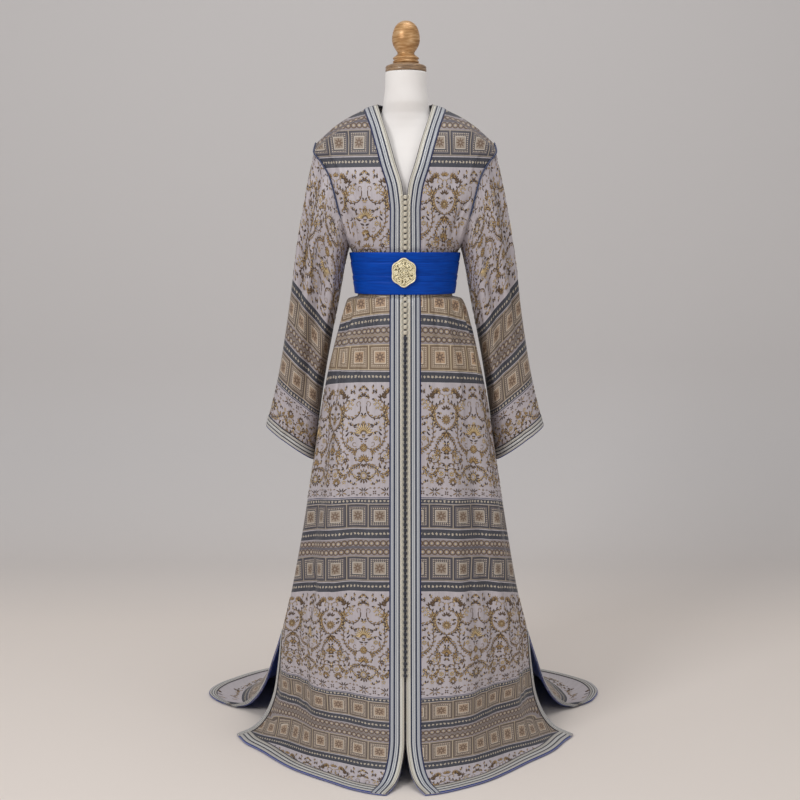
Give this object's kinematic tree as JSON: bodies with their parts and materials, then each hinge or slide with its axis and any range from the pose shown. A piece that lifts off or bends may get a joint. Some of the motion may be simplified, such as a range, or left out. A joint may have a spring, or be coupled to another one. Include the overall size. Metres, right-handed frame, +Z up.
{
  "type": "moroccan kaftan on a limbless dress form",
  "caption": "Long brocade kaftan with braided edges, knotted buttons, wide sleeves, side slits and a pleated satin belt, worn by a limbless dress form on a round foot",
  "frame": {"origin": "centre of the underside of the form's foot, on the ground", "axes": "+Z is up, the front of the kaftan faces -Y, +X is to the right of someone who looks at its front"},
  "size_m": [1.0059, 0.9665, 1.6686],
  "materials": {
    "brocade": "woven brocade with a satin ground",
    "braid": "flat woven braid in silver and navy",
    "lining": "satin weave",
    "belt": "satin, laid in folds",
    "silk": "knotted silk cord",
    "navy": "covered cord",
    "gilt": "gilt filigree",
    "jersey": "fine knit stretched over the bust",
    "cap": "stained and varnished",
    "finial": "turned and varnished",
    "steel": "powder coat"
  },
  "bodies": {
    "root": {"front_left": "brocade", "lining_left": "lining", "sfifa_left": "braid", "hem_braid_left": "braid", "slit_braid_front_left": "braid", "slit_braid_back_left": "braid", "sleeve_left": "brocade", "cuff_braid_left": "braid", "piping_left": "navy", "front_right": "brocade", "lining_right": "lining", "sfifa_right": "braid", "hem_braid_right": "braid", "slit_braid_front_right": "braid", "slit_braid_back_right": "braid", "sleeve_right": "brocade", "cuff_braid_right": "braid", "piping_right": "navy", "back": "brocade", "lining_back": "lining", "hem_braid_back": "braid", "sfifa_neck": "braid", "aakad_upper": "silk", "aakad_lower": "silk", "belt_upper": "belt", "belt_middle": "belt", "belt_lower": "belt", "buckle": "gilt", "form_bust": "jersey", "form_cap": "cap", "form_finial": "finial", "form_pole": "steel", "form_foot": "steel"}
  },
  "joints": []
}
